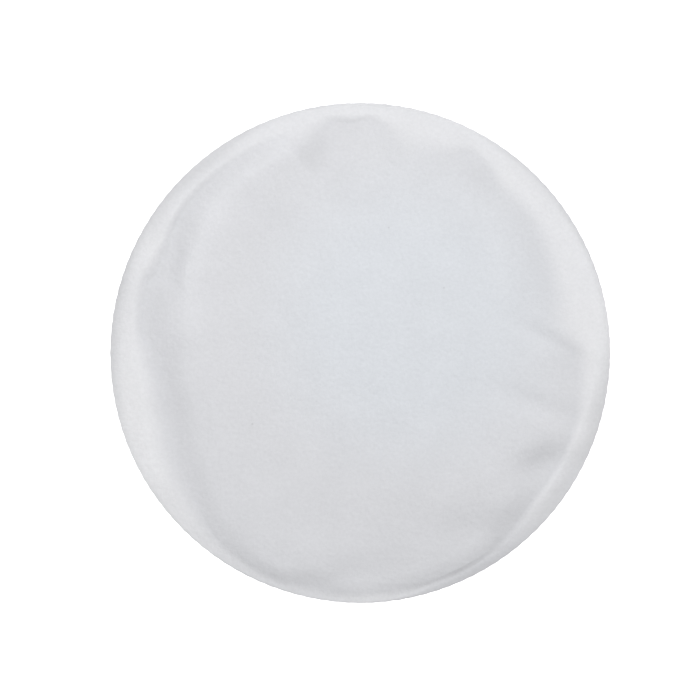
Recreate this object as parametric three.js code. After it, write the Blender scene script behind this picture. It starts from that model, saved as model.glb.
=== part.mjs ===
// Pakol: a soft round cap of white felted cloth. A flat double crown, sewn round its edge, overhangs
// a thick band, and the band is the cap's own side wall, rolled up from below.
// Millimetres, +Z up. The origin is the middle of the flat ring on which the roll rests.

import * as THREE from "three";
import { LoftGeometry } from "three/addons/geometries/LoftGeometry.js";

// Driving dimensions
const CROWN_DIAMETER = 270; // outline of the cap from above
const HEAD_DIAMETER = 186; // the hollow that a head of 58 cm fills
const CLOTH = 2.4; // thickness of the felted cloth
const SEAM_GAP = 0.3; // left between two pieces that are sewn together

// The band: the side wall hangs from the crown's neck, turns outwards at the bottom and is wound inwards
const ROLL_HEIGHT = 38;
const CROWN_OVERHANG = 4; // the crown stands this far out past the roll
const ROLL_CORNER = 14; // rounding of the outermost turn, which leaves a flat ring to rest on
const TURN_PITCH = 4; // from one turn of cloth to the next
const TURN_FACETS = [3, 2, 1]; // facets in each quarter of each turn, the outermost turn first
const ROLL_SECTORS = 36;

// The crown: two layers sewn together round the edge and turned, so that the seam allowance doubles the rim
const EDGE_RISE = 6; // from the underside up to the edge seam
const EDGE_HEIGHT = 0.8; // least height of the upright edge above the seam
const UNDERSIDE_ROUNDING = 6.5; // distance in from the outline where the underside starts to curve up
const LAYER_GAP = 0.6; // least gap between the two layers inside the rim
const TOP_RISE = 3.5; // the top's own level above the edge seam
const TOP_SAG = 2.5; // the top hangs this much lower over the middle of the head hollow
const SAG_RADIUS = 116; // where the roll below bears the top

// Rings of the crown, and the sectors round it
const CROWN_SECTORS = 96;
const ROUNDING_FACETS = 3; // facets where the underside curves up to the seam
const FLAT_SHARES = [0, 0.4, 0.75]; // rings on the flat of the top, from its middle outwards
const REACH_SHARES = [1, 0.55, 0.25]; // rings from the top's own level out to the foot of the rim
const SLOPE_SHARES = [1, 0.65, 0.35, 0]; // rings from the foot up to the edge of the doubled cloth
const OUTER_SHARES = [1, 0.5, 0.2, 0]; // rings from the shoulder of the rim out to the outline
const LOWER_RADII = [131, 128, 124, 118, 110, 97, 75, 40, 0]; // rings on the lower face of the top

// The rim as it lies, by the angle from +X. "shoulder", "edge" and "foot" are distances in from the outline
// to the start of the outer slope, to the edge of the doubled cloth and to the foot of its slope. "fall" is
// the share of the rim's height that the outer slope comes down, above an upright edge, and "curve" how late:
// 1 is a straight slope from a sharp ridge, and more is one that steepens towards the edge. "crest" is the
// height of the rim above the top's own level, "dip" the depth of the foot below that level and "reach" the
// distance from the foot to where the top has come back to its own level. "tuck" is 0 where the foot is a
// round valley, 1 where it is a sharp crease and below 0 where the slope to it is steepest at the top.
const RIM_COLUMNS = ["angle", "shoulder", "fall", "curve", "crest", "edge", "foot", "dip", "reach", "tuck"];
const RIM_FOLDS = [
  [0, 6.2, 0.5, 2, 0.3, 10.0, 20.5, 0.3, 20, 0.2],
  [4, 5.6, 0.45, 2, 0.3, 10.5, 27.0, 0.3, 20, 0.5],
  [9, 5.0, 0.45, 2, 0.3, 13.0, 35.0, 0.3, 20, 0.1],
  [18, 5.0, 0.55, 2.5, 0.2, 16.0, 30.0, 0.3, 22, 0],
  [28, 6.5, 0.85, 3, 0.2, 12.5, 27.0, 0.3, 24, 0],
  [38, 8.5, 0.9, 3, 0.2, 11.2, 21.5, 0.3, 22, 0],
  [49, 8.2, 0.9, 3, 0.2, 11.4, 22.5, 0.3, 22, 0],
  [55, 6.4, 0.9, 2.5, 0.2, 9.6, 16.0, 0.3, 22, 0.1],
  [61, 3.4, 0.7, 2, 0.2, 7.4, 12.6, 0.3, 20, 0.2],
  [66, 3.0, 0.5, 2, 0.2, 10.5, 20.0, 0.3, 20, 0.1],
  [71, 2.8, 0.55, 2, 0.2, 11.0, 24.5, 0.3, 20, 0],
  [77, 2.6, 0.6, 2, 0.2, 10.0, 26.5, 0.3, 18, 0],
  [81, 2.6, 0.65, 2, 0.2, 8.6, 21.0, 0.3, 20, 0],
  [84, 2.8, 0.7, 2, 0.2, 6.8, 14.0, 0.4, 22, 0.1],
  [88, 2.8, 0.7, 2, 0.2, 5.7, 9.4, 0.5, 22, 0.2],
  [92, 2.8, 0.65, 2, 0.2, 6.8, 11.0, 0.8, 18, 0.4],
  [97, 2.8, 0.65, 2, 0.2, 5.5, 9.4, 0.4, 22, 0.2],
  [101, 3.0, 0.7, 2, 0.2, 5.2, 18.0, 0.3, 22, -0.5],
  [105, 3.6, 0.75, 2, 0.2, 7.0, 25.0, 0.3, 18, -0.3],
  [111, 5.0, 0.85, 2, 0.2, 7.8, 11.2, 0.3, 12, 0.2],
  [117, 7.0, 0.9, 2.3, 0.3, 8.4, 11.8, 0.4, 12, 0.2],
  [123, 7.8, 0.9, 2, 0.4, 8.4, 11.8, 0.5, 12, 0.2],
  [129, 8.2, 0.9, 1.9, 0.4, 8.6, 12.0, 0.7, 12, 0.2],
  [134, 8.4, 0.9, 1.7, 0.5, 8.7, 12.5, 1.0, 12, 0.2],
  [139, 8.2, 0.9, 1.6, 0.5, 8.5, 12.7, 1.1, 13, 0.2],
  [146, 8.8, 0.9, 2, 0.5, 9.7, 14.8, 2.1, 16, 0.2],
  [152, 9.4, 0.9, 3, 0.5, 11.0, 19.0, 2.6, 12, -0.4],
  [157, 9.0, 0.9, 3, 0.5, 9.6, 19.8, 2.7, 13, -0.5],
  [162, 8.2, 0.9, 2.6, 0.5, 8.5, 16.0, 2.4, 22, -0.2],
  [169, 9.4, 0.9, 2.4, 0.6, 9.7, 17.0, 2.8, 22, 0],
  [175, 9.0, 0.88, 2.2, 0.7, 11.3, 19.0, 3.1, 22, 0],
  [181, 7.6, 0.8, 2.2, 0.8, 12.8, 23.8, 3.1, 18, 0],
  [190, 6.4, 0.5, 2, 0.9, 14.0, 26.4, 2.9, 15, 0],
  [201, 4.4, 0.18, 2, 0.9, 11.2, 25.2, 2.6, 15, 0],
  [211, 3.2, 0.12, 2, 0.5, 5.6, 21.5, 2.1, 15, 0],
  [222, 2.0, 0.15, 2, -0.7, 4.6, 16.0, 1.4, 13, 0.2],
  [232, 1.4, 0.2, 2, -1.6, 3.8, 8.6, 1.4, 12, 0.7],
  [241, 1.2, 0.3, 2, -2.1, 3.2, 6.8, 1.5, 9, 0.9],
  [250, 1.2, 0.35, 2, -2.3, 2.2, 5.3, 1.7, 8, 0.8],
  [258, 1.2, 0.16, 2, -1.8, 2.2, 6.7, 1.5, 11, 0.5],
  [264, 1.2, 0.12, 2, -1.3, 2.0, 5.9, 0.8, 10, 0.6],
  [271, 1.2, 0.08, 2, -0.5, 2.3, 6.0, 0.2, 7, 0.8],
  [279, 1.4, 0.25, 2, -1.3, 2.5, 6.0, 0.9, 8, 0.8],
  [288, 3.0, 0.8, 1.6, -2.0, 4.0, 6.5, 1.3, 8, 0.8],
  [295, 3.6, 0.88, 1.5, -2.0, 4.1, 7.2, 0.9, 8, 0.7],
  [301, 4.4, 0.9, 1.4, -1.8, 4.7, 7.4, 1.1, 9, 0.8],
  [307, 5.5, 0.9, 1.4, -1.6, 5.9, 8.5, 1.5, 12, 0.7],
  [313, 7.0, 0.9, 1.4, -1.2, 7.5, 10.8, 1.3, 13, 0.5],
  [320, 9.0, 0.9, 1.3, -0.4, 9.5, 13.4, 0.8, 18, 0.4],
  [331, 9.8, 0.88, 1.5, 0, 10.1, 13.0, 0.6, 22, 0.4],
  [341, 8.6, 0.88, 1.4, 0.2, 9.3, 13.8, 0.5, 16, 0.3],
  [351, 8.0, 0.85, 1.5, 0.3, 9.2, 18.0, 0.4, 18, 0.1],
];

// Soft dents (depth above 0) and swellings (below 0) of the top, each centred at x and y, with the heading of
// its long axis
const DENT_COLUMNS = ["x", "y", "heading", "length", "width", "depth"];
const TOP_DENTS = [
  [97, -60, 22, 14, 8, 2.8],
  [58, -92, 6, 26, 8.5, 1.2],
  [73, -96, 38, 13, 7, 0.5],
  [-5, -116.5, 29, 14, 4, 0.7],
  [3, -124.5, 8, 12, 4.5, -0.4],
  [102.5, 6.5, 150, 22, 4.5, 0.8],
  [112, -9, 160, 13, 8, 0.6],
  [96, -28, 158, 22, 6.5, 1.1],
  [65, 88, 140, 13, 10, 1.4],
  [-22, 103, 65, 13, 8, 1.1],
  [-43, 107, 38, 16, 9, -2.2],
  [-64, 92, 40, 17, 9, -2.4],
  [-80, 68, 62, 17, 9, -2.2],
  [-89, 44, 75, 17, 9, -2.0],
  [-91, 18, 86, 17, 9, -1.8],
];

// Levels and radii that follow from the driving dimensions
const CROWN_RADIUS = CROWN_DIAMETER / 2;
const HEAD_RADIUS = HEAD_DIAMETER / 2;
const ROLL_RADIUS = CROWN_RADIUS - CROWN_OVERHANG;
const UNDERSIDE_LEVEL = ROLL_HEIGHT + SEAM_GAP;
const SEAM_LEVEL = UNDERSIDE_LEVEL + EDGE_RISE;
const FULL_TURN = 2 * Math.PI;
const QUARTER_TURN = Math.PI / 2;

const { clamp, degToRad, lerp, radToDeg, smoothstep } = THREE.MathUtils;

// The rows of a table as objects with its columns' names
const named = (columns, rows) =>
  rows.map((row) => Object.fromEntries(columns.map((column, index) => [column, row[index]])));

const RIM = named(RIM_COLUMNS, RIM_FOLDS);
const DENTS = named(DENT_COLUMNS, TOP_DENTS);

// The slope of a curve at a row between two stretches: level at a peak or a hollow, so it never overshoots
const slopeBetween = (before, after) => (before * after <= 0 ? 0 : (2 * before * after) / (before + after));

// One column of the rim table at any angle in degrees, on a smooth closed curve through the rows
function rimColumn(column, degrees) {
  const count = RIM.length;
  const row = (index) => {
    const fold = RIM[((index % count) + count) % count];
    return { angle: fold.angle + 360 * Math.floor(index / count), value: fold[column] };
  };
  const steepness = (index) => {
    const [from, to] = [row(index), row(index + 1)];
    return (to.value - from.value) / (to.angle - from.angle);
  };
  const first = RIM.findLastIndex((fold) => fold.angle <= degrees);
  const [start, end] = [row(first), row(first + 1)];
  const span = end.angle - start.angle;
  const share = (degrees - start.angle) / span;
  const rest = 1 - share;
  const leaving = slopeBetween(steepness(first - 1), steepness(first)) * span;
  const arriving = slopeBetween(steepness(first), steepness(first + 1)) * span;
  return (
    start.value * rest * rest * (1 + 2 * share) +
    end.value * share * share * (3 - 2 * share) +
    leaving * share * rest * rest -
    arriving * share * share * rest
  );
}

// The rim at an angle: every column but the angle itself
function rimAt(angle) {
  const columns = RIM_COLUMNS.slice(1);
  return Object.fromEntries(columns.map((column) => [column, rimColumn(column, radToDeg(angle))]));
}

// How far the dents and swellings lower the top at a point
function dentDepth(x, y) {
  return DENTS.reduce((sum, dent) => {
    const heading = degToRad(dent.heading);
    const [east, north] = [x - dent.x, y - dent.y];
    const along = (east * Math.cos(heading) + north * Math.sin(heading)) / dent.length;
    const across = (north * Math.cos(heading) - east * Math.sin(heading)) / dent.width;
    return sum + dent.depth * Math.exp(-(along ** 2) - across ** 2);
  }, 0);
}

// The top's own level, away from the rim
function topLevel(radius) {
  const hang = Math.max(0, 1 - (radius / SAG_RADIUS) ** 4);
  return SEAM_LEVEL + TOP_RISE - TOP_SAG * hang * hang;
}

// The height of the crown's upper face at a distance in from the outline
function crownHeight(inset, rim, angle) {
  const plainInset = Math.max(inset, rim.shoulder);
  const radius = CROWN_RADIUS - plainInset;
  const down = clamp((plainInset - rim.edge) / (rim.foot - rim.edge), 0, 1);
  const back = clamp((plainInset - rim.foot) / rim.reach, 0, 1);
  const sunk = lerp(smoothstep(down, 0, 1), down * down, rim.tuck);
  const risen = lerp(smoothstep(back, 0, 1), back * (2 - back), rim.tuck);
  const lie = topLevel(radius) + rim.crest * (1 - sunk) - rim.dip * sunk * (1 - risen);
  const height = lie - dentDepth(radius * Math.cos(angle), radius * Math.sin(angle));
  const outward = clamp(1 - inset / rim.shoulder, 0, 1);
  return lerp(height, SEAM_LEVEL + EDGE_HEIGHT, rim.fall * outward ** rim.curve);
}

// The height of the inner face of the crown's underside
function undersideHeight(radius) {
  const bend = CROWN_RADIUS - UNDERSIDE_ROUNDING;
  const share = clamp((radius - bend) / (UNDERSIDE_ROUNDING - CLOTH), 0, 1);
  return SEAM_LEVEL - (EDGE_RISE - CLOTH) * Math.sqrt(1 - share * share);
}

// The top disc of the crown: over its upper face to the outline, down to the seam and back under its lower
// face, which lies a cloth below the upper one and clear of the underside
function crownTopSection(angle) {
  const rim = rimAt(angle);
  const upperInsets = [
    ...FLAT_SHARES.map((share) => lerp(CROWN_RADIUS, rim.foot + rim.reach, share)),
    ...REACH_SHARES.map((share) => rim.foot + rim.reach * share),
    ...SLOPE_SHARES.map((share) => lerp(rim.edge, rim.foot, share)),
    ...OUTER_SHARES.map((share) => rim.shoulder * share),
  ];
  const upper = upperInsets.map(
    (inset) => new THREE.Vector2(CROWN_RADIUS - inset, crownHeight(inset, rim, angle)),
  );
  const seam = [CROWN_RADIUS, CROWN_RADIUS - CLOTH].map((radius) => new THREE.Vector2(radius, SEAM_LEVEL));
  const lower = LOWER_RADII.map((radius) => {
    const belowTop = crownHeight(CROWN_RADIUS - radius, rim, angle) - CLOTH;
    return new THREE.Vector2(radius, Math.max(belowTop, undersideHeight(radius) + LAYER_GAP));
  });
  return [...upper, ...seam, ...lower];
}

// The curve of the underside's edge, from level up to the seam. "layer" is the depth of the face in the cloth.
function edgeRounding(layer) {
  return Array.from({ length: ROUNDING_FACETS + 1 }, (_, facet) => {
    const turn = (QUARTER_TURN * facet) / ROUNDING_FACETS;
    const radius = CROWN_RADIUS - UNDERSIDE_ROUNDING + (UNDERSIDE_ROUNDING - layer) * Math.sin(turn);
    const height = SEAM_LEVEL - (EDGE_RISE - layer) * Math.cos(turn);
    return new THREE.Vector2(radius, Math.min(height, SEAM_LEVEL - SEAM_GAP));
  });
}

// The under layer of the crown: a ring from the neck out to the edge, where it curves up to the seam
function crownUndersideSection() {
  const neck = new THREE.Vector2(HEAD_RADIUS, UNDERSIDE_LEVEL);
  const neckAbove = new THREE.Vector2(HEAD_RADIUS, UNDERSIDE_LEVEL + CLOTH);
  return [neckAbove, ...edgeRounding(CLOTH), ...edgeRounding(0).reverse(), neck];
}

// One face of the wound side wall: down from the neck, out along the floor, up, over and inwards, turn by
// turn. "layer" is the depth of the face in the cloth.
function woundFace(layer) {
  const face = [new THREE.Vector2(HEAD_RADIUS + layer, ROLL_HEIGHT)];
  TURN_FACETS.forEach((facets, turn) => {
    const inset = turn * TURN_PITCH + layer;
    const left = HEAD_RADIUS + inset;
    const right = ROLL_RADIUS - inset;
    const top = ROLL_HEIGHT - inset;
    const round = ROLL_CORNER - inset;
    const lastRound = round - TURN_PITCH / 2;
    const corners = [
      { x: left + round, z: inset + round, radius: round },
      { x: right - round, z: inset + round, radius: round },
      { x: right - round, z: top - round, radius: round },
      { x: left + TURN_PITCH + lastRound, z: top - lastRound, radius: lastRound },
    ];
    corners.forEach((corner, quarter) => {
      for (let facet = 0; facet <= facets; facet += 1) {
        const heading = Math.PI + QUARTER_TURN * (quarter + facet / facets);
        const x = corner.x + corner.radius * Math.cos(heading);
        const z = corner.z + corner.radius * Math.sin(heading);
        face.push(new THREE.Vector2(x, z));
      }
    });
  });
  return face;
}

// The side wall, wound up: inwards along its inner face and back along its outer face
const rolledBrimSection = () => [...woundFace(CLOTH), ...woundFace(0).reverse()];

// A solid lofted once round the axis through sections of (radius, height) points
function loftRound(sectionAt, sectors, closed) {
  const sections = Array.from({ length: sectors + 1 }, (_, sector) => {
    const angle = (FULL_TURN * (sector % sectors)) / sectors;
    return sectionAt(angle).map(
      (point) => new THREE.Vector3(point.x * Math.cos(angle), point.x * Math.sin(angle), point.y),
    );
  });
  return new LoftGeometry(sections, { closed });
}

function piece(name, geometry, color) {
  const felt = new THREE.MeshStandardMaterial({ color, roughness: 0.95, metalness: 0 });
  const mesh = new THREE.Mesh(geometry, felt);
  mesh.name = name;
  return mesh;
}

const pakol = new THREE.Group();
pakol.add(
  piece("crown_top", loftRound(crownTopSection, CROWN_SECTORS, false), 0xe3e5e9),
  piece("crown_underside", loftRound(crownUndersideSection, CROWN_SECTORS, true), 0xdfe1e5),
  piece("rolled_brim", loftRound(rolledBrimSection, ROLL_SECTORS, true), 0xe1e3e7),
);

export default pakol;
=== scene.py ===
"""A white felt pakol on a pale floor, seen from straight above. Metres, +Z up, in the frame's axes."""

import math

import bpy
import numpy as np
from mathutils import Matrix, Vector


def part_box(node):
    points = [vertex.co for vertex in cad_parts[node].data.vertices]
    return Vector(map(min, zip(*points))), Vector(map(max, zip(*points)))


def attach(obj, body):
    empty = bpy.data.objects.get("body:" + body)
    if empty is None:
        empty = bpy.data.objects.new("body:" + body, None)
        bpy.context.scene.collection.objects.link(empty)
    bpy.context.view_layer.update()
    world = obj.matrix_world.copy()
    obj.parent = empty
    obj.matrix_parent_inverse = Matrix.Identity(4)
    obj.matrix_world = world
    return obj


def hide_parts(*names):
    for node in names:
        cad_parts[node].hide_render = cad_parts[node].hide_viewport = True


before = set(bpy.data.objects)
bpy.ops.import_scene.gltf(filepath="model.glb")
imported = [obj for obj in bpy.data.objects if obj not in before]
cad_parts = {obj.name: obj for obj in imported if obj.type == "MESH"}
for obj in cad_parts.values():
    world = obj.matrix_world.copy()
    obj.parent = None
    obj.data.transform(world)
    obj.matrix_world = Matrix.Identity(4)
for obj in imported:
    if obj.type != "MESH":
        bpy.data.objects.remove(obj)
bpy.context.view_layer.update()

# Sizes that the frame gives
top_low, top_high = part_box("crown_top")
under_low, under_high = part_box("crown_underside")
roll_low, roll_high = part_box("rolled_brim")
CROWN_RADIUS = (top_high.x - top_low.x) / 2
ROLL_RADIUS = (roll_high.x - roll_low.x) / 2
ROLL_HEIGHT = roll_high.z
UNDERSIDE_LEVEL = under_low.z

# Sizes of the cloth and of the way it is sewn and rolled
CLOTH = 0.0024
SEAM_GAP = 0.0003
SEAM_LEVEL = under_high.z + SEAM_GAP
HEAD_RADIUS = 0.093
LIP = 0.0008  # rounding of each layer where it goes into the edge seam
PUCKERS = 120  # small draws of the edge seam, all round
PUCKER_DEPTH = 0.0002
TOP_PUCKER_FADE = 3  # the higher this power, the nearer to the seam the puckers die away
UNDERSIDE_PUCKER_FADE = 8
UNDERSIDE_ROUNDING = 0.0065  # distance in from the outline where the underside starts to curve up
TOP_RISE = 0.0035  # the top's own level above the edge seam
TOP_SAG = 0.0025  # the top hangs this much lower over the middle of the head hollow
SAG_RADIUS = 0.116  # where the roll below bears the top
EDGE_SHADE_REACH = 0.0027  # how far in from the outline the painted shade of the steep edge reaches
ROLL_CORNER = 0.014  # rounding of the outermost turn of the roll
TURN_PITCH = 0.004  # from one turn of the roll to the next
NECK_DROPS = (0, 0.002, 0.006, 0.012)  # below the roll's top, where the neck has points before it turns

# How finely the meshes are divided. Each row of the crown's upper face has a zone, the parts it is divided
# into, the first and the last of their steps that have a ring of points, and the points of such a ring.
UPPER_RINGS = [
    ("flat", 20, 1, 1, 45),
    ("flat", 20, 2, 3, 90),
    ("flat", 20, 4, 11, 180),
    ("flat", 20, 12, 19, 360),
    ("reach", 16, 0, 7, 360),
    ("reach", 16, 8, 15, 720),
    ("slope", 12, 0, 11, 720),
    ("crest", 6, 0, 5, 720),
]
OUTER_PARTS = 16  # of the crown's outer slope, finer towards the edge
EDGE_POINTS = 720  # round the edge seam
LIP_STEPS = (0, 30, 60, 90)  # degrees round each lip where it has a ring
LOWER_RINGS = [(14, 360), (6, 180), (2, 90), (2, 45)]  # rings and points of each, from the edge inwards
UNDERSIDE_FLAT_RINGS = 11
UNDERSIDE_BEND_RINGS = 15
ROLL_POINTS = 360  # round the roll
TURN_FACETS = (9, 4, 3)  # facets in each quarter of each turn, the outermost turn first
SIDE_PARTS = 4  # of the upright side of the outermost turn

# The rim as it lies, by the angle from +X. "shoulder", "edge" and "foot" are distances in from the outline
# to the start of the outer slope, to the edge of the doubled cloth and to the foot of its slope. "fall" is
# the share of the rim's height that the outer slope comes down, above an upright edge, and "curve" how late:
# 1 is a straight slope from a sharp ridge, and more is one that steepens towards the edge. "crest" is the
# height of the rim above the top's own level, "dip" the depth of the foot below that level and "reach" the
# distance from the foot to where the top has come back to its own level. "tuck" is 0 where the foot is a
# round valley, 1 where it is a sharp crease and below 0 where the slope to it is steepest at the top.
# The last three columns are how white the rim's double layer of cloth shows, partly its own whiteness
# and partly painted light and shade set angle by angle; the share of painted shade in the valley beside
# it; and the share of painted shade along the steep outer edge.
RIM_COLUMNS = (
    "angle", "shoulder", "fall", "curve", "crest", "edge", "foot",
    "dip", "reach", "tuck", "doubled", "valley_shade", "edge_shade",
)
RIM_FOLDS = [
    (0, 0.0062, 0.50, 2.0, 0.0003, 0.0100, 0.0205, 0.0003, 0.020, 0.2, 0.78, 0.6, 0.00),
    (4, 0.0056, 0.45, 2.0, 0.0003, 0.0105, 0.0270, 0.0003, 0.020, 0.5, 0.81, 0.7, 0.00),
    (9, 0.0050, 0.45, 2.0, 0.0003, 0.0130, 0.0350, 0.0003, 0.020, 0.1, 0.82, 0.4, 0.00),
    (18, 0.0050, 0.55, 2.5, 0.0002, 0.0160, 0.0300, 0.0003, 0.022, 0.0, 0.60, 0.5, 0.02),
    (28, 0.0065, 0.85, 3.0, 0.0002, 0.0125, 0.0270, 0.0003, 0.024, 0.0, 0.54, 0.8, 0.08),
    (38, 0.0085, 0.90, 3.0, 0.0002, 0.0112, 0.0215, 0.0003, 0.022, 0.0, 0.52, 0.8, 0.08),
    (49, 0.0082, 0.90, 3.0, 0.0002, 0.0114, 0.0225, 0.0003, 0.022, 0.0, 0.64, 0.6, 0.12),
    (55, 0.0064, 0.90, 2.5, 0.0002, 0.0096, 0.0160, 0.0003, 0.022, 0.1, 0.44, 0.6, 0.07),
    (61, 0.0034, 0.70, 2.0, 0.0002, 0.0074, 0.0126, 0.0003, 0.020, 0.2, 0.40, 0.3, 0.02),
    (66, 0.0030, 0.50, 2.0, 0.0002, 0.0105, 0.0200, 0.0003, 0.020, 0.1, 0.38, 0.3, 0.00),
    (71, 0.0028, 0.55, 2.0, 0.0002, 0.0110, 0.0245, 0.0003, 0.020, 0.0, 0.37, 0.2, 0.02),
    (77, 0.0026, 0.60, 2.0, 0.0002, 0.0100, 0.0265, 0.0003, 0.018, 0.0, 0.46, 0.1, 0.04),
    (81, 0.0026, 0.65, 2.0, 0.0002, 0.0086, 0.0210, 0.0003, 0.020, 0.0, 0.47, 0.2, 0.05),
    (84, 0.0028, 0.70, 2.0, 0.0002, 0.0068, 0.0140, 0.0004, 0.022, 0.1, 0.44, 0.5, 0.075),
    (88, 0.0028, 0.70, 2.0, 0.0002, 0.0057, 0.0094, 0.0005, 0.022, 0.2, 0.44, 0.6, 0.065),
    (92, 0.0028, 0.65, 2.0, 0.0002, 0.0068, 0.0110, 0.0008, 0.018, 0.4, 0.44, 0.8, 0.045),
    (97, 0.0028, 0.65, 2.0, 0.0002, 0.0055, 0.0094, 0.0004, 0.022, 0.2, 0.41, 0.9, 0.045),
    (101, 0.0030, 0.70, 2.0, 0.0002, 0.0052, 0.0180, 0.0003, 0.022, -0.5, 0.36, 1.0, 0.03),
    (105, 0.0036, 0.75, 2.0, 0.0002, 0.0070, 0.0250, 0.0003, 0.018, -0.3, 0.35, 0.9, 0.02),
    (111, 0.0050, 0.85, 2.0, 0.0002, 0.0078, 0.0112, 0.0003, 0.012, 0.2, 0.38, 0.0, 0.02),
    (117, 0.0070, 0.90, 2.3, 0.0003, 0.0084, 0.0118, 0.0004, 0.012, 0.2, 0.42, 0.3, 0.05),
    (123, 0.0078, 0.90, 2.0, 0.0004, 0.0084, 0.0118, 0.0005, 0.012, 0.2, 0.42, 0.5, 0.03),
    (129, 0.0082, 0.90, 1.9, 0.0004, 0.0086, 0.0120, 0.0007, 0.012, 0.2, 0.40, 0.7, 0.02),
    (134, 0.0084, 0.90, 1.7, 0.0005, 0.0087, 0.0125, 0.0010, 0.012, 0.2, 0.42, 0.9, 0.02),
    (139, 0.0082, 0.90, 1.6, 0.0005, 0.0085, 0.0127, 0.0011, 0.013, 0.2, 0.47, 1.0, 0.05),
    (146, 0.0088, 0.90, 2.0, 0.0005, 0.0097, 0.0148, 0.0021, 0.016, 0.2, 0.58, 0.9, 0.06),
    (152, 0.0094, 0.90, 3.0, 0.0005, 0.0110, 0.0190, 0.0026, 0.012, -0.4, 0.78, 0.7, 0.05),
    (157, 0.0090, 0.90, 3.0, 0.0005, 0.0096, 0.0198, 0.0027, 0.013, -0.5, 0.64, 0.7, 0.06),
    (162, 0.0082, 0.90, 2.6, 0.0005, 0.0085, 0.0160, 0.0024, 0.022, -0.2, 0.53, 0.6, 0.065),
    (169, 0.0094, 0.90, 2.4, 0.0006, 0.0097, 0.0170, 0.0028, 0.022, 0.0, 0.63, 0.8, 0.05),
    (175, 0.0090, 0.88, 2.2, 0.0007, 0.0113, 0.0190, 0.0031, 0.022, 0.0, 0.70, 0.9, 0.045),
    (181, 0.0076, 0.80, 2.2, 0.0008, 0.0128, 0.0238, 0.0031, 0.018, 0.0, 0.82, 0.7, 0.01),
    (190, 0.0064, 0.50, 2.0, 0.0009, 0.0140, 0.0264, 0.0029, 0.015, 0.0, 0.96, 0.7, 0.00),
    (201, 0.0044, 0.18, 2.0, 0.0009, 0.0112, 0.0252, 0.0026, 0.015, 0.0, 1.00, 0.6, 0.00),
    (211, 0.0032, 0.12, 2.0, 0.0005, 0.0056, 0.0215, 0.0021, 0.015, 0.0, 1.00, 0.5, 0.00),
    (222, 0.0020, 0.15, 2.0, -0.0007, 0.0046, 0.0160, 0.0014, 0.013, 0.2, 0.80, 0.1, 0.00),
    (232, 0.0014, 0.20, 2.0, -0.0016, 0.0038, 0.0086, 0.0014, 0.012, 0.7, 0.50, 0.0, 0.00),
    (241, 0.0012, 0.30, 2.0, -0.0021, 0.0032, 0.0068, 0.0015, 0.009, 0.9, 0.38, 0.0, 0.06),
    (250, 0.0012, 0.35, 2.0, -0.0023, 0.0022, 0.0053, 0.0017, 0.008, 0.8, 0.34, 0.0, 0.04),
    (258, 0.0012, 0.16, 2.0, -0.0018, 0.0022, 0.0067, 0.0015, 0.011, 0.5, 0.38, 0.4, 0.00),
    (264, 0.0012, 0.12, 2.0, -0.0013, 0.0020, 0.0059, 0.0008, 0.010, 0.6, 0.44, 0.3, 0.00),
    (271, 0.0012, 0.08, 2.0, -0.0005, 0.0023, 0.0060, 0.0002, 0.007, 0.8, 0.60, 0.0, 0.00),
    (279, 0.0014, 0.25, 2.0, -0.0013, 0.0025, 0.0060, 0.0009, 0.008, 0.8, 0.46, 0.2, 0.00),
    (288, 0.0030, 0.80, 1.6, -0.0020, 0.0040, 0.0065, 0.0013, 0.008, 0.8, 0.06, 0.3, 0.03),
    (295, 0.0036, 0.88, 1.5, -0.0020, 0.0041, 0.0072, 0.0009, 0.008, 0.7, 0.00, 0.2, 0.05),
    (301, 0.0044, 0.90, 1.4, -0.0018, 0.0047, 0.0074, 0.0011, 0.009, 0.8, 0.00, 0.5, 0.06),
    (307, 0.0055, 0.90, 1.4, -0.0016, 0.0059, 0.0085, 0.0015, 0.012, 0.7, 0.03, 1.0, 0.065),
    (313, 0.0070, 0.90, 1.4, -0.0012, 0.0075, 0.0108, 0.0013, 0.013, 0.5, 0.26, 0.9, 0.06),
    (320, 0.0090, 0.90, 1.3, -0.0004, 0.0095, 0.0134, 0.0008, 0.018, 0.4, 0.55, 0.9, 0.04),
    (331, 0.0098, 0.88, 1.5, 0.0000, 0.0101, 0.0130, 0.0006, 0.022, 0.4, 0.43, 0.7, 0.015),
    (341, 0.0086, 0.88, 1.4, 0.0002, 0.0093, 0.0138, 0.0005, 0.016, 0.3, 0.76, 0.2, 0.06),
    (351, 0.0080, 0.85, 1.5, 0.0003, 0.0092, 0.0180, 0.0004, 0.018, 0.1, 0.68, 0.3, 0.04),
]
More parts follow.
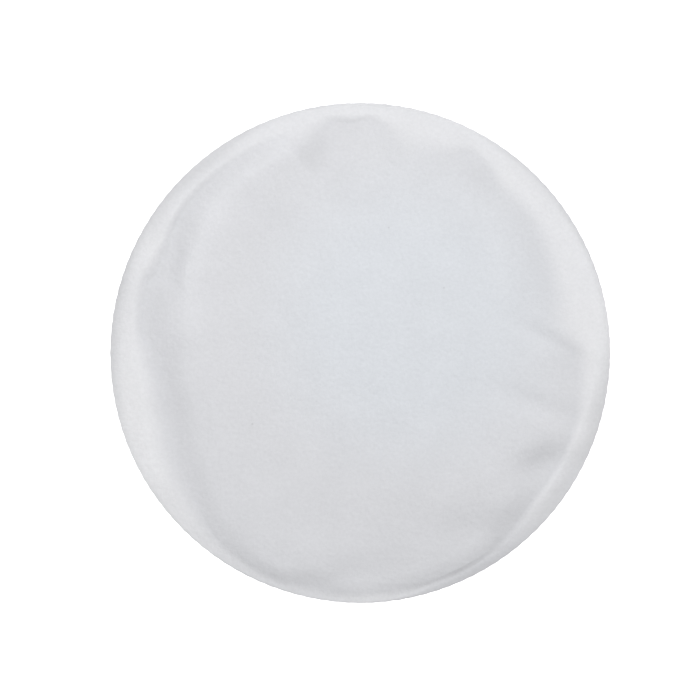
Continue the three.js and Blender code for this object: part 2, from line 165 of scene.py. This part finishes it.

# Soft dents (depth above 0) and swellings (below 0) of the top, each centred at x and y, with the heading of
# its long axis. "shade" is painted light (above 0) and painted shade (below 0) on the cloth there, set for
# how the light falls on the dents, swellings and edges. Rows with no depth are patches of painted light and
# shade alone.
DENT_COLUMNS = ("x", "y", "heading", "length", "width", "depth", "shade")
TOP_DENTS = [
    (0.097, -0.060, 22, 0.014, 0.0080, 0.0028, -0.03),
    (0.088, -0.064, 22, 0.014, 0.0070, 0.0000, -0.02),
    (0.058, -0.092, 6, 0.026, 0.0085, 0.0012, -0.04),
    (0.073, -0.096, 38, 0.013, 0.0070, 0.0005, -0.03),
    (0.058, -0.118, 26, 0.022, 0.0040, 0.0000, -0.05),
    (-0.005, -0.1165, 29, 0.014, 0.0040, 0.0007, -0.015),
    (0.013, -0.111, 12, 0.020, 0.0070, 0.0000, -0.035),
    (0.003, -0.1245, 8, 0.012, 0.0045, -0.0004, 0.02),
    (0.018, -0.090, 0, 0.060, 0.0250, 0.0000, -0.02),
    (-0.056, -0.0975, 150, 0.016, 0.0060, 0.0000, 0.015),
    (0.1025, 0.0065, 150, 0.022, 0.0045, 0.0008, -0.01),
    (0.112, -0.009, 160, 0.013, 0.0080, 0.0006, 0.00),
    (0.101, -0.011, 160, 0.014, 0.0060, 0.0000, -0.03),
    (0.096, -0.028, 158, 0.022, 0.0065, 0.0011, -0.02),
    (0.109, -0.071, 57, 0.022, 0.0035, 0.0000, -0.04),
    (0.1265, -0.034, 75, 0.026, 0.0030, 0.0000, -0.03),
    (0.065, 0.088, 140, 0.013, 0.0100, 0.0014, -0.01),
    (0.058, 0.079, 144, 0.018, 0.0120, 0.0000, -0.01),
    (0.091, 0.093, 135, 0.018, 0.0030, 0.0000, -0.04),
    (-0.022, 0.103, 65, 0.013, 0.0080, 0.0011, 0.00),
    (0.010, 0.100, 0, 0.060, 0.0200, 0.0000, -0.025),
    (-0.043, 0.107, 38, 0.016, 0.0090, -0.0022, 0.025),
    (-0.064, 0.092, 40, 0.017, 0.0090, -0.0024, 0.025),
    (-0.080, 0.068, 62, 0.017, 0.0090, -0.0022, 0.035),
    (-0.089, 0.044, 75, 0.017, 0.0090, -0.0020, 0.045),
    (-0.091, 0.018, 86, 0.017, 0.0090, -0.0018, 0.045),
    (-0.050, 0.068, 48, 0.036, 0.0180, 0.0000, -0.03),
    (-0.082, 0.103, 39, 0.030, 0.0042, 0.0000, -0.09),
    (-0.1075, 0.074, 55, 0.016, 0.0050, 0.0000, -0.05),
    (-0.114, -0.053, 115, 0.018, 0.0080, 0.0000, 0.025),
    (-0.101, 0.019, 79, 0.021, 0.0060, 0.0000, 0.03),
    (-0.0865, 0.035, 68, 0.012, 0.0060, 0.0000, -0.035),
    (-0.0935, -0.027, 106, 0.014, 0.0070, 0.0000, -0.03),
    (-0.042, -0.116, 160, 0.010, 0.0040, 0.0000, 0.03),
    (-0.0215, -0.1015, 168, 0.020, 0.0080, 0.0000, 0.025),
    (0.027, -0.127, 12, 0.010, 0.0030, 0.0000, -0.03),
    (0.074, -0.1035, 36, 0.009, 0.0030, 0.0000, -0.04),
]

# Creases of the roll's outer face and, in the last six rows, wider hollows: the angle from +X and the height
# where each lies, its lean from level, and its length, width and depth
CREASE_COLUMNS = ("angle", "height", "lean", "length", "width", "depth")
ROLL_CREASES = [
    (8, 0.024, 6, 0.030, 0.0034, 0.0020),
    (29, 0.012, -12, 0.024, 0.0038, 0.0017),
    (52, 0.021, 9, 0.036, 0.0030, 0.0021),
    (77, 0.027, -7, 0.022, 0.0034, 0.0016),
    (104, 0.014, 11, 0.028, 0.0040, 0.0019),
    (128, 0.023, -9, 0.034, 0.0032, 0.0020),
    (151, 0.018, 24, 0.020, 0.0036, 0.0021),
    (174, 0.026, 5, 0.032, 0.0034, 0.0018),
    (196, 0.013, -16, 0.026, 0.0038, 0.0019),
    (219, 0.022, 8, 0.038, 0.0031, 0.0022),
    (243, 0.016, -22, 0.020, 0.0036, 0.0020),
    (264, 0.025, 7, 0.030, 0.0034, 0.0019),
    (287, 0.013, 13, 0.026, 0.0040, 0.0018),
    (309, 0.022, -8, 0.036, 0.0031, 0.0021),
    (336, 0.017, 20, 0.022, 0.0036, 0.0020),
    (18, 0.019, 4, 0.045, 0.0100, 0.0016),
    (92, 0.020, -6, 0.050, 0.0110, 0.0014),
    (140, 0.016, 8, 0.040, 0.0100, 0.0017),
    (207, 0.019, -5, 0.048, 0.0105, 0.0015),
    (254, 0.020, 6, 0.045, 0.0100, 0.0016),
    (322, 0.018, -8, 0.042, 0.0105, 0.0016),
]

# How the photograph frames the cap, in pixels of a square picture
PICTURE_SIDE = 700
OUTLINE_CENTRE = (360.2, 352.9)
OUTLINE_RADIUS = 250.1
CAMERA_LENS = 150
SENSOR = 36

# Colours of the felt: where it is one layer, with the cool cast of its middle, and where the rim doubles it.
# Beside the rim a painted shade darkens the single layer by a share.
COOL_FELT = (0.746, 0.771, 0.809)
SINGLE_FELT = (0.757, 0.763, 0.790)
DOUBLED_FELT = (0.862, 0.865, 0.884)
COOL_CENTRE = (0.027, 0.020)
COOL_RADIUS = 0.035  # all of it is cool within this, and none beyond its fade
COOL_FADE = 0.070
VALLEY_SHADE_SHARE = 0.06

# Finish of the felt, and the strength and height of its bumps
SHEEN = 0.1
SHEEN_ROUGHNESS = 0.5
SPECULAR = 0.1
PILE_STRENGTH = 0.22
PILE_HEIGHT = 0.0006
FIBRE_STRENGTH = 0.12
FIBRE_HEIGHT = 0.0003

# Noises of the felt: the size of the grains, the detail, and the lowest and the highest value
CLOUDS = (0.022, 3, 0.985, 1.015)
SPECKLE = (0.0017, 2, 0.978, 1.022)
ROUGHNESS = (0.004, 2, 0.88, 0.98)
PILE = (0.0030, 3, 0.0, 1.0)
FIBRES = (0.0008, 3, 0.0, 1.0)
TINTS = (0.030, 2, 0.0, 1.0)
NOISE_SPAN = (0.3, 0.7)  # nearly all the values of plain noise lie in here

# Lint on the top, dark specks at x and y
LINT = [(0.0154, 0.0676), (0.0452, 0.0352), (-0.0582, -0.0384)]
LINT_SIZE = 0.0008
LINT_SHADE = 0.82

# The light: a soft lamp from the back, a wide one near above, and a pale room that throws more light back
# from below
KEY_AZIMUTH = 82
KEY_ELEVATION = 64
KEY_DISTANCE = 1.4
KEY_SIZE = 0.60
KEY_POWER = 7.75
NEAR_AZIMUTH = 90
NEAR_ELEVATION = 78
NEAR_DISTANCE = 0.56
NEAR_SIZE = 0.50
NEAR_POWER = 1.02
ROOM_ABOVE = 0.275
ROOM_BELOW = 1.6
ROOM_FADE = 0.3  # from the horizon down to this share of straight down, one goes over into the other

# The floor, just below the cap, and a disc on it that keeps the light from below off the foot of the roll
FLOOR_REACH = 4.0
FLOOR_LEVEL = -0.0002
FLOOR_SHADE = 0.9
FLOOR_GLOW = 0.7
FLAG_RADIUS = 0.15
FLAG_SIDES = 64
FLAG_SHADE = 0.8
STAGE_ROUGHNESS = 0.9


def table(columns, rows):
    """The columns of a table by their names."""
    return dict(zip(columns, np.array(rows, float).T))


RIM = table(RIM_COLUMNS, RIM_FOLDS)
DENTS = table(DENT_COLUMNS, TOP_DENTS)
CREASES = table(CREASE_COLUMNS, ROLL_CREASES)


def ease(share):
    """A share from 0 to 1 with a level start and end."""
    share = np.clip(share, 0, 1)
    return share * share * (3 - 2 * share)


def rim_at(column, degrees):
    """A column of the rim at any angles, on a smooth closed curve through its rows that never overshoots."""
    angles = RIM["angle"]
    values = RIM[column]
    spans = np.diff(angles, append=angles[0] + 360)
    rises = np.diff(values, append=values[0]) / spans
    before = np.roll(rises, 1)
    same_way = before * rises > 0
    slopes = np.where(same_way, 2 * before * rises / np.where(same_way, before + rises, 1), 0)
    first = np.searchsorted(angles, degrees, side="right") - 1
    after = (first + 1) % len(angles)
    share = (degrees - angles[first]) / spans[first]
    rest = 1 - share
    levels = values[first] * rest**2 * (1 + 2 * share) + values[after] * share**2 * (3 - 2 * share)
    bends = slopes[first] * share * rest**2 - slopes[after] * share**2 * rest
    return levels + bends * spans[first]


def dents_at(column, x, y):
    """The sum of a column of the dents and swellings at points, each fading out from its centre."""
    heading = np.radians(DENTS["heading"])
    east = x[:, None] - DENTS["x"]
    north = y[:, None] - DENTS["y"]
    along = (east * np.cos(heading) + north * np.sin(heading)) / DENTS["length"]
    across = (north * np.cos(heading) - east * np.sin(heading)) / DENTS["width"]
    return (DENTS[column] * np.exp(-(along**2) - across**2)).sum(axis=1)


def top_level(radius):
    """The top's own level, away from the rim."""
    hang = np.maximum(0, 1 - (radius / SAG_RADIUS) ** 4)
    return SEAM_LEVEL + TOP_RISE - TOP_SAG * hang**2


def slope_share(inset, rim):
    """How far down the rim's inner slope a point lies, from 0 on its double layer of cloth to 1 at the foot.
    """
    share = np.clip((inset - rim["edge"]) / (rim["foot"] - rim["edge"]), 0, 1)
    return ease(share) + (share**2 - ease(share)) * rim["tuck"]


def crown_height(inset, rim, turn):
    """The height of the crown's upper face at a distance in from the outline."""
    plain_inset = np.maximum(inset, rim["shoulder"])
    down = slope_share(plain_inset, rim)
    back = np.clip((plain_inset - rim["foot"]) / rim["reach"], 0, 1)
    back = ease(back) + (back * (2 - back) - ease(back)) * rim["tuck"]
    radius = CROWN_RADIUS - plain_inset
    height = top_level(radius) + rim["crest"] * (1 - down) - rim["dip"] * down * (1 - back)
    height = height - dents_at("depth", radius * np.cos(turn), radius * np.sin(turn))
    outward = np.clip(1 - inset / rim["shoulder"], 0, 1)
    return height - (height - SEAM_LEVEL - LIP) * rim["fall"] * outward ** rim["curve"]


def underside_height(radius):
    """The height of the inner face of the ring of cloth under the crown's top."""
    past_bend = np.clip((radius - CROWN_RADIUS + UNDERSIDE_ROUNDING) / (UNDERSIDE_ROUNDING - CLOTH), 0, 1)
    rise = SEAM_LEVEL - SEAM_GAP - LIP - UNDERSIDE_LEVEL - CLOTH
    return UNDERSIDE_LEVEL + CLOTH + rise * (1 - np.sqrt(1 - past_bend**2))


def rim_columns(degrees):
    """All the columns of the rim at angles, by their names."""
    return {column: rim_at(column, degrees) for column in RIM_COLUMNS[1:]}


def rim_ring(count):
    """The angles of a ring of points, and the columns of the rim there."""
    degrees = np.arange(count) * 360 / count
    return np.radians(degrees), rim_columns(degrees)


def ring_angles(count):
    """The angles of a ring of points."""
    return np.arange(count) * 2 * math.pi / count


def around_axis(radius, height, turn):
    """A ring of points at angles round the axis, with one radius and height or with one for each angle."""
    heights = np.broadcast_to(height, turn.shape)
    return np.column_stack((radius * np.cos(turn), radius * np.sin(turn), heights))


def pucker(turn):
    """How far the small draws of the edge seam pull the outline in, at angles."""
    return PUCKER_DEPTH * (1 - np.cos(PUCKERS * turn)) / 2


def upper_ring(zone, share, count):
    """One ring of points of the crown's upper face, at a share of the way out through one of its zones."""
    turn, rim = rim_ring(count)
    near, far = {
        "flat": (CROWN_RADIUS, rim["foot"] + rim["reach"]),
        "reach": (rim["foot"] + rim["reach"], rim["foot"]),
        "slope": (rim["foot"], rim["edge"]),
        "crest": (rim["edge"], rim["shoulder"]),
        "outer": (rim["shoulder"], 0),
    }[zone]
    inset = near + (far - near) * share
    drawn_in = pucker(turn) * share**TOP_PUCKER_FADE if zone == "outer" else 0
    return around_axis(CROWN_RADIUS - inset - drawn_in, crown_height(inset, rim, turn), turn)


def lower_ring(inset, count):
    """One ring of points of the crown's lower face, a cloth below the upper and clear of the underside."""
    turn, rim = rim_ring(count)
    radius = CROWN_RADIUS - inset
    height = np.maximum(crown_height(inset, rim, turn) - CLOTH, underside_height(radius) + SEAM_GAP)
    return around_axis(radius, height, turn)


def band_faces(start, count, next_start, next_count):
    """The faces between a ring of points and the next, which has as many, twice or half as many, or one."""
    here = [start + index % count for index in range(2 * count + 1)]
    there = [next_start + index % next_count for index in range(2 * next_count + 1)]
    if count == next_count:
        return [(here[i], there[i], there[i + 1], here[i + 1]) for i in range(count)]
    if count == 1:
        return [(start, there[i], there[i + 1]) for i in range(next_count)]
    if next_count == 1:
        return [(here[i], next_start, here[i + 1]) for i in range(count)]
    faces = []
    for i in range(min(count, next_count)):
        if next_count > count:
            faces.append((here[i], there[2 * i], there[2 * i + 1]))
            faces.append((here[i], there[2 * i + 1], here[i + 1]))
            faces.append((here[i + 1], there[2 * i + 1], there[2 * i + 2]))
        else:
            faces.append((here[2 * i], there[i], here[2 * i + 1]))
            faces.append((here[2 * i + 1], there[i], there[i + 1]))
            faces.append((here[2 * i + 1], there[i + 1], here[2 * i + 2]))
    return faces


def skin(name, rings, closed):
    """A smooth mesh over rings of points, each joined to the next, and the last to the first if closed."""
    starts = np.cumsum([0] + [len(ring) for ring in rings]).tolist()
    faces = []
    for index in range(len(rings) if closed else len(rings) - 1):
        following = (index + 1) % len(rings)
        faces += band_faces(starts[index], len(rings[index]), starts[following], len(rings[following]))
    mesh = bpy.data.meshes.new(name)
    mesh.from_pydata(np.vstack(rings).tolist(), [], faces)
    mesh.shade_smooth()
    mesh.update()
    piece = bpy.data.objects.new(name, mesh)
    bpy.context.scene.collection.objects.link(piece)
    return piece


def make_crown_top():
    """The top disc with its padded rim, over the upper face to the edge seam and back below."""
    middle = np.array([[0, 0, top_level(0)]])
    upper = []
    for zone, parts, first, last, count in UPPER_RINGS:
        upper += [upper_ring(zone, step / parts, count) for step in range(first, last + 1)]
    outer_shares = np.sin(np.arange(OUTER_PARTS + 1) * math.pi / 2 / OUTER_PARTS)
    upper += [upper_ring("outer", share, EDGE_POINTS) for share in outer_shares]
    turn = ring_angles(EDGE_POINTS)
    for quarter in np.radians(LIP_STEPS):
        lip_inset = LIP * (1 - math.cos(quarter)) + pucker(turn)
        lip_height = SEAM_LEVEL + LIP * (1 - math.sin(quarter))
        upper.append(around_axis(CROWN_RADIUS - lip_inset, lip_height, turn))
    counts = [count for rings, count in LOWER_RINGS for _ in range(rings)]
    shares_in = np.arange(len(counts)) / len(counts)
    insets = CLOTH + (CROWN_RADIUS - CLOTH) * shares_in**2
    lower = [around_axis(CROWN_RADIUS - CLOTH, SEAM_LEVEL, ring_angles(counts[0]))]
    lower += [lower_ring(inset, count) for inset, count in zip(insets[1:], counts[1:])]
    return skin("crown_top_felt", [middle, *upper, *lower, middle - (0, 0, CLOTH)], closed=False)


def mark_cloth(piece):
    """Marks at each point of the crown's top how cool the cloth is, how white the rim's double layer shows
    (partly painted light and shade) and all the painted shade and light.
    """
    places = np.empty(len(piece.data.vertices) * 3)
    piece.data.vertices.foreach_get("co", places)
    x, y, _ = places.reshape(-1, 3).T
    inset = CROWN_RADIUS - np.hypot(x, y)
    rim = rim_columns(np.degrees(np.arctan2(y, x)) % 360)
    down = slope_share(inset, rim)
    # painted shade in the valley beside the rim
    valley_shade = down * (1 - ease((inset - rim["foot"]) / rim["reach"])) * rim["valley_shade"]
    # painted shade along the steep outer edge
    edge_shade = np.exp(-((inset / EDGE_SHADE_REACH) ** 2)) * rim["edge_shade"]
    marks = {
        "doubled": (1 - down) * rim["doubled"],
        "cool": 1 - ease((np.hypot(x - COOL_CENTRE[0], y - COOL_CENTRE[1]) - COOL_RADIUS) / COOL_FADE),
        # all the painted shade and painted light of the top's cloth
        "shade": 1 - VALLEY_SHADE_SHARE * valley_shade - edge_shade + dents_at("shade", x, y),
    }
    for name, values in marks.items():
        piece.data.attributes.new(name, "FLOAT", "POINT").data.foreach_set("value", values)


def make_crown_underside():
    """The ring of cloth under the crown, from the neck out to the edge, where it curves up to the seam."""
    bend = CROWN_RADIUS - UNDERSIDE_ROUNDING
    lip_level = SEAM_LEVEL - SEAM_GAP - LIP
    rise = lip_level - UNDERSIDE_LEVEL
    fine = ring_angles(EDGE_POINTS)
    coarse = ring_angles(EDGE_POINTS // 2)
    flat = np.linspace(HEAD_RADIUS, bend, UNDERSIDE_FLAT_RINGS, endpoint=False)
    curve = np.linspace(bend, CROWN_RADIUS - CLOTH, UNDERSIDE_BEND_RINGS)
    quarters = np.linspace(0, math.pi / 2, UNDERSIDE_BEND_RINGS)
    rings = [around_axis(radius, underside_height(radius), coarse) for radius in (*flat, *curve)]
    rings.append(around_axis(CROWN_RADIUS - CLOTH, lip_level + LIP, coarse))
    for quarter in np.radians(LIP_STEPS[::-1]):
        out = CROWN_RADIUS + LIP * (math.cos(quarter) - 1)
        rings.append(around_axis(out - pucker(fine), lip_level + LIP * math.sin(quarter), fine))
    for quarter in quarters[-2::-1]:
        out = bend + UNDERSIDE_ROUNDING * math.sin(quarter)
        drawn_in = pucker(fine) * math.sin(quarter) ** UNDERSIDE_PUCKER_FADE
        rings.append(around_axis(out - drawn_in, lip_level - rise * math.cos(quarter), fine))
    rings += [around_axis(radius, UNDERSIDE_LEVEL, coarse) for radius in flat[::-1]]
    return skin("crown_underside_felt", rings, closed=True)


def wound_face(layer):
    """One face of the wound side wall in (radius, height), down from the neck and inwards turn by turn."""
    points = [(HEAD_RADIUS + layer, ROLL_HEIGHT - drop) for drop in NECK_DROPS]
    for turn, facets in enumerate(TURN_FACETS):
        inset = turn * TURN_PITCH + layer
        left = HEAD_RADIUS + inset
        right = ROLL_RADIUS - inset
        top = ROLL_HEIGHT - inset
        rounding = ROLL_CORNER - inset
        last_rounding = rounding - TURN_PITCH / 2
        corners = (
            (left + rounding, inset + rounding, rounding),
            (right - rounding, inset + rounding, rounding),
            (right - rounding, top - rounding, rounding),
            (left + TURN_PITCH + last_rounding, top - last_rounding, last_rounding),
        )
        for quarter, (x, z, size) in enumerate(corners):
            for facet in range(facets + 1):
                heading = math.pi + math.pi / 2 * (quarter + facet / facets)
                points.append((x + size * math.cos(heading), z + size * math.sin(heading)))
            if turn == 0 and quarter == 1:
                side = points[-1][0]
                part = (top - rounding - z) / SIDE_PARTS
                points += [(side, z + step * part) for step in range(1, SIDE_PARTS)]
    return points


def crease_depth(turn, height):
    """How far the creases press the roll's outer face in, at one height and all the angles of a ring."""
    gap = (turn[:, None] - np.radians(CREASES["angle"]) + math.pi) % (2 * math.pi) - math.pi
    lean = np.radians(CREASES["lean"])
    level = gap * ROLL_RADIUS
    above = height - CREASES["height"]
    along = (level * np.cos(lean) + above * np.sin(lean)) / CREASES["length"]
    across = (above * np.cos(lean) - level * np.sin(lean)) / CREASES["width"]
    return (CREASES["depth"] * np.exp(-(along**2) - across**2)).sum(axis=1)


def make_rolled_brim():
    """The side wall, wound up into the band, its turns drawn together where the outer face is creased."""
    turn = ring_angles(ROLL_POINTS)
    heart_radius = (HEAD_RADIUS + ROLL_RADIUS) / 2
    heart_height = ROLL_HEIGHT / 2
    rings = []
    for radius, height in wound_face(CLOTH) + wound_face(0)[::-1]:
        outward = radius - heart_radius
        upward = height - heart_height
        reach = math.hypot(outward, upward)
        face_height = heart_height * (1 + upward / reach)
        outer_share = ease(2 * outward / reach)  # 1 on the outer side of the roll, 0 on its inner side
        squeeze = outer_share * crease_depth(turn, face_height) / heart_height
        around = heart_radius + outward * (1 - squeeze)
        level = heart_height + upward * (1 - squeeze)
        rings.append(around_axis(around, level, turn))
    return skin("rolled_brim_felt", rings, closed=True)


def add_node(tree, kind, **settings):
    """A shader node with its inputs and properties set by name."""
    node = tree.nodes.new("ShaderNode" + kind)
    for key, value in settings.items():
        if key in node.inputs:
            node.inputs[key].default_value = value
        else:
            setattr(node, key, value)
    return node


def mixed(tree, share, first, second, blend="MIX"):
    """A mix of two colours, by a share. Each of the three is a value or comes from another node."""
    mix = add_node(tree, "Mix", data_type="RGBA", blend_type=blend)
    for socket, value in ((mix.inputs[0], share), (mix.inputs[6], first), (mix.inputs[7], second)):
        if isinstance(value, bpy.types.NodeSocket):
            tree.links.new(value, socket)
        elif isinstance(value, tuple):
            socket.default_value = (*value, 1)
        else:
            socket.default_value = value
    return mix.outputs[2]


def shaded(tree, colour, value):
    """A colour made darker or brighter by a value from another node."""
    return mixed(tree, 1.0, colour, value, "MULTIPLY")


def map_range(tree, value, source, target):
    """A node's value mapped from one range to another, and kept inside it."""
    node = add_node(tree, "MapRange")
    for name, bound in zip(("From Min", "From Max", "To Min", "To Max"), (*source, *target)):
        node.inputs[name].default_value = bound
    tree.links.new(value, node.inputs["Value"])
    return node.outputs["Result"]


def noise(tree, size, detail, low, high):
    """Noise with grains of a size in metres, as values from low to high."""
    texture = add_node(tree, "TexNoise", Scale=1 / size, Detail=detail)
    tree.links.new(add_node(tree, "TexCoord").outputs["Object"], texture.inputs["Vector"])
    return map_range(tree, texture.outputs["Fac"], NOISE_SPAN, (low, high))


def make_felt(name, cloth):
    """Matte brushed felt. "cloth" makes the colour of its fibres, and clouds, speckle and pile are added."""
    material = bpy.data.materials.new(name)
    material.use_nodes = True
    tree = material.node_tree
    shader = tree.nodes["Principled BSDF"]
    shader.inputs["Sheen Weight"].default_value = SHEEN
    shader.inputs["Sheen Roughness"].default_value = SHEEN_ROUGHNESS
    shader.inputs["Specular IOR Level"].default_value = SPECULAR
    clouded = shaded(tree, cloth(tree), noise(tree, *CLOUDS))
    speckled = shaded(tree, clouded, noise(tree, *SPECKLE))
    tree.links.new(speckled, shader.inputs["Base Color"])
    tree.links.new(noise(tree, *ROUGHNESS), shader.inputs["Roughness"])
    pile = add_node(tree, "Bump", Strength=PILE_STRENGTH, Distance=PILE_HEIGHT)
    fibres = add_node(tree, "Bump", Strength=FIBRE_STRENGTH, Distance=FIBRE_HEIGHT)
    tree.links.new(noise(tree, *PILE), pile.inputs["Height"])
    tree.links.new(noise(tree, *FIBRES), fibres.inputs["Height"])
    tree.links.new(pile.outputs["Normal"], fibres.inputs["Normal"])
    tree.links.new(fibres.outputs["Normal"], shader.inputs["Normal"])
    return material


def plain_cloth(tree):
    """The felt of one layer, a little warmer and cooler from place to place."""
    return mixed(tree, noise(tree, *TINTS), SINGLE_FELT, COOL_FELT)


def mark(tree, name):
    """What mark_cloth has marked under a name."""
    return add_node(tree, "Attribute", attribute_name=name).outputs["Fac"]


def crown_cloth(tree):
    """The felt of the top: cool in its middle, whiter on the rim's double layer (partly painted light),
    with painted shade and light, and with specks of lint.
    """
    cloth = mixed(tree, mark(tree, "cool"), SINGLE_FELT, COOL_FELT)
    # whiter on the rim's double layer, partly its own whiteness and partly painted light and shade
    cloth = mixed(tree, mark(tree, "doubled"), cloth, DOUBLED_FELT)
    # painted shade and painted light, as marked by mark_cloth
    cloth = shaded(tree, cloth, mark(tree, "shade"))
    place = add_node(tree, "TexCoord").outputs["Object"]
    for x, y in LINT:
        distance = add_node(tree, "VectorMath", operation="DISTANCE")
        distance.inputs[1].default_value = (x, y, float(top_level(math.hypot(x, y))))
        tree.links.new(place, distance.inputs[0])
        speck = map_range(tree, distance.outputs["Value"], (0, LINT_SIZE), (LINT_SHADE, 1))
        cloth = shaded(tree, cloth, speck)
    return cloth


def dress(piece, node, material):
    """Rides a piece on the cap, in place of its solid, with its felt."""
    piece.data.materials.append(material)
    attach(piece, "root")
    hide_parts(node)


def make_stage(name, corners, shade, glow):
    """A flat matte piece of the stage with these corners, in a pale shade, which may glow by itself."""
    mesh = bpy.data.meshes.new(name)
    mesh.from_pydata(corners, [], [tuple(range(len(corners)))])
    stage = bpy.data.objects.new(name, mesh)
    bpy.context.scene.collection.objects.link(stage)
    material = bpy.data.materials.new("pale_" + name)
    material.use_nodes = True
    shader = material.node_tree.nodes["Principled BSDF"]
    shader.inputs["Base Color"].default_value = (shade, shade, shade, 1)
    shader.inputs["Roughness"].default_value = STAGE_ROUGHNESS
    shader.inputs["Emission Color"].default_value = (1, 1, 1, 1)
    shader.inputs["Emission Strength"].default_value = glow
    mesh.materials.append(material)
    return stage


def make_floor():
    """A pale floor, lit through so that it stays white in the cap's shadow, and an unseen disc on it."""
    square = ((-1, -1), (1, -1), (1, 1), (-1, 1))
    corners = [(x * FLOOR_REACH, y * FLOOR_REACH, FLOOR_LEVEL) for x, y in square]
    floor = make_stage("floor", corners, FLOOR_SHADE, FLOOR_GLOW)
    floor.visible_diffuse = False
    disc = around_axis(FLAG_RADIUS, FLOOR_LEVEL / 2, ring_angles(FLAG_SIDES))
    flag = make_stage("flag", disc.tolist(), FLAG_SHADE, 0)
    flag.visible_camera = False


def add_lamp(name, azimuth, elevation, distance, size, power):
    """A round soft lamp that points at the cap, from a direction in degrees."""
    around = math.radians(azimuth)
    upward = math.radians(elevation)
    reach = distance * math.cos(upward)
    place = (reach * math.cos(around), reach * math.sin(around), distance * math.sin(upward))
    light = bpy.data.lights.new(name, "AREA")
    light.shape = "DISK"
    light.size = size
    light.energy = power
    lamp = bpy.data.objects.new(name, light)
    lamp.location = place
    lamp.rotation_mode = "QUATERNION"
    lamp.rotation_quaternion = (Vector((0, 0, SEAM_LEVEL)) - Vector(place)).to_track_quat("-Z", "Y")
    lamp.visible_camera = False
    bpy.context.scene.collection.objects.link(lamp)


def make_light():
    """The pale room and the two lamps."""
    world = bpy.data.worlds.new("studio")
    world.use_nodes = True
    tree = world.node_tree
    parts = add_node(tree, "SeparateXYZ")
    tree.links.new(add_node(tree, "TexCoord").outputs["Generated"], parts.inputs[0])
    strength = map_range(tree, parts.outputs["Z"], (-ROOM_FADE, 0), (ROOM_BELOW, ROOM_ABOVE))
    tree.links.new(strength, tree.nodes["Background"].inputs["Strength"])
    tree.nodes["Background"].inputs["Color"].default_value = (1, 1, 1, 1)
    bpy.context.scene.world = world
    add_lamp("key", KEY_AZIMUTH, KEY_ELEVATION, KEY_DISTANCE, KEY_SIZE, KEY_POWER)
    add_lamp("near", NEAR_AZIMUTH, NEAR_ELEVATION, NEAR_DISTANCE, NEAR_SIZE, NEAR_POWER)


def make_camera():
    """The camera straight above, set so that the outline falls where the photograph has it."""
    pixel = CROWN_RADIUS / OUTLINE_RADIUS
    data = bpy.data.cameras.new("camera")
    data.lens = CAMERA_LENS
    data.sensor_width = SENSOR
    distance = PICTURE_SIDE / 2 * pixel * CAMERA_LENS / (SENSOR / 2)
    camera = bpy.data.objects.new("camera", data)
    east = (PICTURE_SIDE / 2 - OUTLINE_CENTRE[0]) * pixel
    north = (OUTLINE_CENTRE[1] - PICTURE_SIDE / 2) * pixel
    camera.location = (east, north, SEAM_LEVEL + LIP + distance)
    bpy.context.scene.collection.objects.link(camera)
    bpy.context.scene.camera = camera


make_camera()
make_light()
make_floor()
crown_top = make_crown_top()
mark_cloth(crown_top)
dress(crown_top, "crown_top", make_felt("crown_felt", crown_cloth))
dress(make_crown_underside(), "crown_underside", make_felt("underside_felt", plain_cloth))
dress(make_rolled_brim(), "rolled_brim", make_felt("brim_felt", plain_cloth))
bpy.context.scene.view_settings.view_transform = "Standard"
